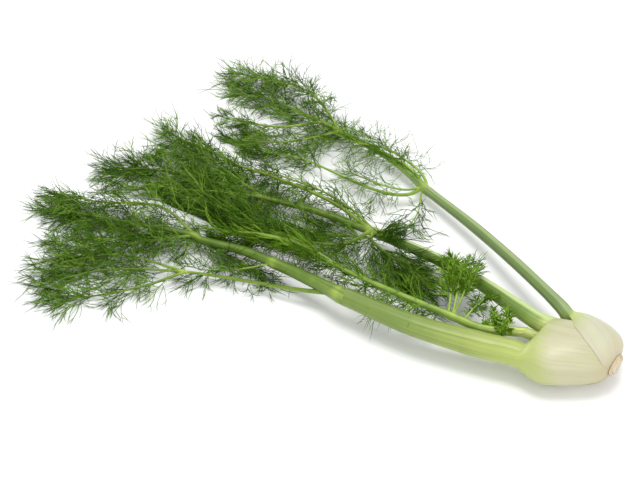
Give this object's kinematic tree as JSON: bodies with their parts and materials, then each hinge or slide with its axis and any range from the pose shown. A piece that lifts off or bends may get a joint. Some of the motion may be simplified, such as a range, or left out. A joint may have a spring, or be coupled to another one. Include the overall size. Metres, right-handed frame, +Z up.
{
  "type": "fennel bulb with stalks and fronds",
  "caption": "Pale, ribbed fennel bulb lying on its flat side, its clasping sheaths running into green stalks that end in wide feathery fronds.",
  "frame": {"origin": "on the flat spot under the bulb, on the surface that the plant lies on", "axes": "+Z up from the surface, -X towards the tips of the fronds, the bulb's root end towards +X"},
  "size_m": [0.577, 0.479, 0.0531],
  "materials": {
    "root": "dry, pale brown cut root scar",
    "dark_stalk": "waxy, finely ribbed, white at the bulb and dark green along the stalk",
    "green_stalk": "satin, finely ribbed, white at the bulb and bright green along the stalk",
    "pale_stalk": "satin, finely ribbed, white at the bulb and pale green along the stalk",
    "frond": "soft, thread-like, mid to dark green",
    "young_frond": "soft, thread-like, bright green"
  },
  "bodies": {
    "root": {"root_plate": "root", "back_stalk": "dark_stalk", "front_stalk": "pale_stalk", "middle_stalk": "green_stalk", "heart_stalk": "pale_stalk", "back_frond": "frond", "middle_frond": "frond", "front_frond": "frond", "heart_frond": "young_frond"}
  },
  "joints": []
}
